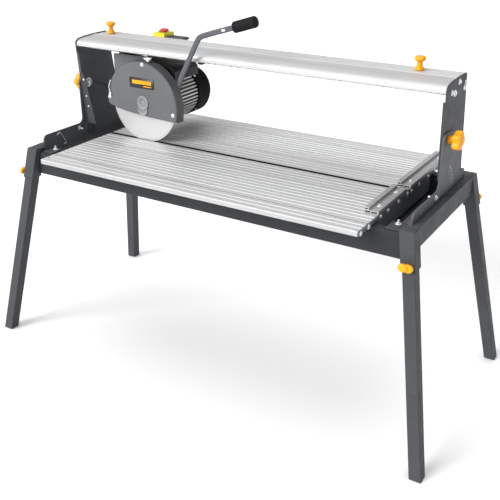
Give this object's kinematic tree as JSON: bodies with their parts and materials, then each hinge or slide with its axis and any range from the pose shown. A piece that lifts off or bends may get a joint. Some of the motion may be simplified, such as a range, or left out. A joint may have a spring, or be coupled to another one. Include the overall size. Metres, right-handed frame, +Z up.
{
  "type": "bridge tile saw",
  "caption": "Wet bridge tile saw: a guarded blade and motor slide on rollers along a tilting aluminium beam, over a slotted table with splayed legs.",
  "frame": {"origin": "on the floor, midway between the four feet", "axes": "+X along the beam to the operator's right, +Y away from the operator, +Z up"},
  "size_m": [1.536, 0.714, 1.0887],
  "materials": {
    "grey_paint": "satin powder coat",
    "guard_paint": "satin powder coat",
    "aluminium": "anodised extrusion",
    "cast_aluminium": "cast, finned",
    "blade_steel": "ground disc",
    "zinc_steel": "zinc plated",
    "orange_plastic": "moulded",
    "black_plastic": "moulded",
    "black_cast": "black painted steel",
    "black_rubber": "ribbed grip",
    "yellow_plastic": "moulded",
    "red_plastic": "moulded",
    "green_plastic": "moulded"
  },
  "bodies": {
    "frame": {"drain_plug": "black_plastic", "fence_rail_front": "aluminium", "fence_rail_rear": "aluminium", "front_rail": "grey_paint", "left_end_rail": "grey_paint", "leg_front_left": "grey_paint", "leg_front_right": "grey_paint", "leg_rear_left": "grey_paint", "leg_rear_right": "grey_paint", "leg_socket_front_left": "grey_paint", "leg_socket_front_right": "grey_paint", "leg_socket_rear_left": "grey_paint", "leg_socket_rear_right": "grey_paint", "pivot_stud_left": "zinc_steel", "pivot_stud_right": "zinc_steel", "rear_rail": "grey_paint", "right_end_rail": "grey_paint", "table_end_plate_left": "grey_paint", "table_end_plate_right": "grey_paint", "table_front_panel": "aluminium", "table_rear_panel": "aluminium", "tilt_bracket_left": "grey_paint", "tilt_bracket_right": "grey_paint", "water_pump": "black_plastic", "water_tray": "black_plastic"},
    "bridge": {"upright_left": "grey_paint", "upright_right": "grey_paint", "bridge_beam": "aluminium", "guide_rod_front": "zinc_steel", "guide_rod_rear": "zinc_steel", "switch_box": "yellow_plastic", "switch_bracket": "grey_paint"},
    "transport_knob_left": {"transport_knob_left": "orange_plastic"},
    "transport_knob_right": {"transport_knob_right": "orange_plastic"},
    "stop_button": {"stop_button": "red_plastic"},
    "start_button": {"start_button": "green_plastic"},
    "carriage": {"carriage": "black_cast"},
    "roller_front_left": {"roller_front_left": "zinc_steel"},
    "roller_front_right": {"roller_front_right": "zinc_steel"},
    "roller_rear_left": {"roller_rear_left": "zinc_steel"},
    "roller_rear_right": {"roller_rear_right": "zinc_steel"},
    "saw_head": {"head_arm": "black_cast", "guard_back": "guard_paint", "guard_cover": "guard_paint", "motor_housing": "cast_aluminium", "fan_cover": "black_plastic", "handle_arm": "grey_paint", "handle_grip": "black_rubber"},
    "guard_latch": {"guard_latch": "zinc_steel"},
    "guard_wing_nut": {"guard_wing_nut": "zinc_steel"},
    "spindle": {"motor_shaft": "zinc_steel", "blade": "blade_steel", "blade_flange": "zinc_steel"},
    "leg_knob_front_left": {"leg_knob_front_left": "orange_plastic"},
    "leg_knob_front_right": {"leg_knob_front_right": "orange_plastic"},
    "leg_knob_rear_left": {"leg_knob_rear_left": "orange_plastic"},
    "leg_knob_rear_right": {"leg_knob_rear_right": "orange_plastic"},
    "tilt_knob_left": {"tilt_knob_left": "orange_plastic"},
    "tilt_knob_right": {"tilt_knob_right": "orange_plastic"}
  },
  "joints": [
    {"name": "bridge_tilt", "type": "hinge", "parent": "frame", "child": "bridge", "pos_m": [0, 0.012, 0.65], "axis": [1, 0, 0], "range_deg": [0, 45]},
    {"name": "head_slide", "type": "slide", "parent": "bridge", "child": "carriage", "axis": [1, 0, 0], "range_m": [-0.04, 0.78]},
    {"name": "head_plunge", "type": "hinge", "parent": "carriage", "child": "saw_head", "pos_m": [-0.498, 0.085, 0.895], "axis": [0, -1, 0], "range_deg": [0, 6]},
    {"name": "blade_spin", "type": "hinge", "parent": "saw_head", "child": "spindle", "pos_m": [-0.378, 0.012, 0.7705], "axis": [0, 1, 0], "continuous": true},
    {"name": "stop_press", "type": "slide", "parent": "bridge", "child": "stop_button", "axis": [0, 0, -1], "range_m": [0, 0.003], "stiffness_N_per_m": 300, "springref_m": -0.003},
    {"name": "start_press", "type": "slide", "parent": "bridge", "child": "start_button", "axis": [0, 0, -1], "range_m": [0, 0.003], "stiffness_N_per_m": 300, "springref_m": -0.003},
    {"name": "latch_swing", "type": "hinge", "parent": "saw_head", "child": "guard_latch", "pos_m": [-0.4985, -0.0105, 0.794], "axis": [0, -1, 0], "range_deg": [0, 40]},
    {"name": "wing_nut_turn", "type": "hinge", "parent": "saw_head", "child": "guard_wing_nut", "pos_m": [-0.352, 0.01, 0.9094], "axis": [0, 0, 1], "range_deg": [0, 270]},
    {"name": "roller_front_left_turn", "type": "hinge", "parent": "carriage", "child": "roller_front_left", "pos_m": [-0.47, 0.045, 0.944], "axis": [0, 1, 0], "continuous": true},
    {"name": "roller_front_right_turn", "type": "hinge", "parent": "carriage", "child": "roller_front_right", "pos_m": [-0.215, 0.045, 0.944], "axis": [0, 1, 0], "continuous": true},
    {"name": "roller_rear_left_turn", "type": "hinge", "parent": "carriage", "child": "roller_rear_left", "pos_m": [-0.47, 0.125, 0.944], "axis": [0, 1, 0], "continuous": true},
    {"name": "roller_rear_right_turn", "type": "hinge", "parent": "carriage", "child": "roller_rear_right", "pos_m": [-0.215, 0.125, 0.944], "axis": [0, 1, 0], "continuous": true},
    {"name": "leg_knob_front_left_turn", "type": "hinge", "parent": "frame", "child": "leg_knob_front_left", "pos_m": [-0.66775, -0.24802, 0.564], "axis": [-0.9837, 0, 0.1801], "range_deg": [0, 270]},
    {"name": "leg_knob_rear_left_turn", "type": "hinge", "parent": "frame", "child": "leg_knob_rear_left", "pos_m": [-0.66775, 0.24802, 0.564], "axis": [-0.9837, 0, 0.1801], "range_deg": [0, 270]},
    {"name": "leg_knob_front_right_turn", "type": "hinge", "parent": "frame", "child": "leg_knob_front_right", "pos_m": [0.64775, -0.26803, 0.564], "axis": [0, -0.987, 0.161], "range_deg": [0, 270]},
    {"name": "leg_knob_rear_right_turn", "type": "hinge", "parent": "frame", "child": "leg_knob_rear_right", "pos_m": [0.64775, 0.26803, 0.564], "axis": [0, 0.987, 0.161], "range_deg": [0, 270]},
    {"name": "tilt_knob_left_turn", "type": "hinge", "parent": "frame", "child": "tilt_knob_left", "pos_m": [-0.6288, 0.01982, 0.80981], "axis": [-1, 0, 0], "range_deg": [0, 270]},
    {"name": "transport_knob_left_turn", "type": "hinge", "parent": "bridge", "child": "transport_knob_left", "pos_m": [-0.577, 0.105, 0.9585], "axis": [0, 0, 1], "range_deg": [0, 270]},
    {"name": "tilt_knob_right_turn", "type": "hinge", "parent": "frame", "child": "tilt_knob_right", "pos_m": [0.6288, 0.01982, 0.80981], "axis": [1, 0, 0], "range_deg": [0, 270]},
    {"name": "transport_knob_right_turn", "type": "hinge", "parent": "bridge", "child": "transport_knob_right", "pos_m": [0.502, 0.105, 0.9585], "axis": [0, 0, 1], "range_deg": [0, 270]}
  ],
  "couplings": [
    {"joint": "roller_front_left_turn", "follows": "head_slide", "rad_per_m": 103.09},
    {"joint": "roller_front_right_turn", "follows": "head_slide", "rad_per_m": 103.09},
    {"joint": "roller_rear_left_turn", "follows": "head_slide", "rad_per_m": 103.09},
    {"joint": "roller_rear_right_turn", "follows": "head_slide", "rad_per_m": 103.09}
  ]
}
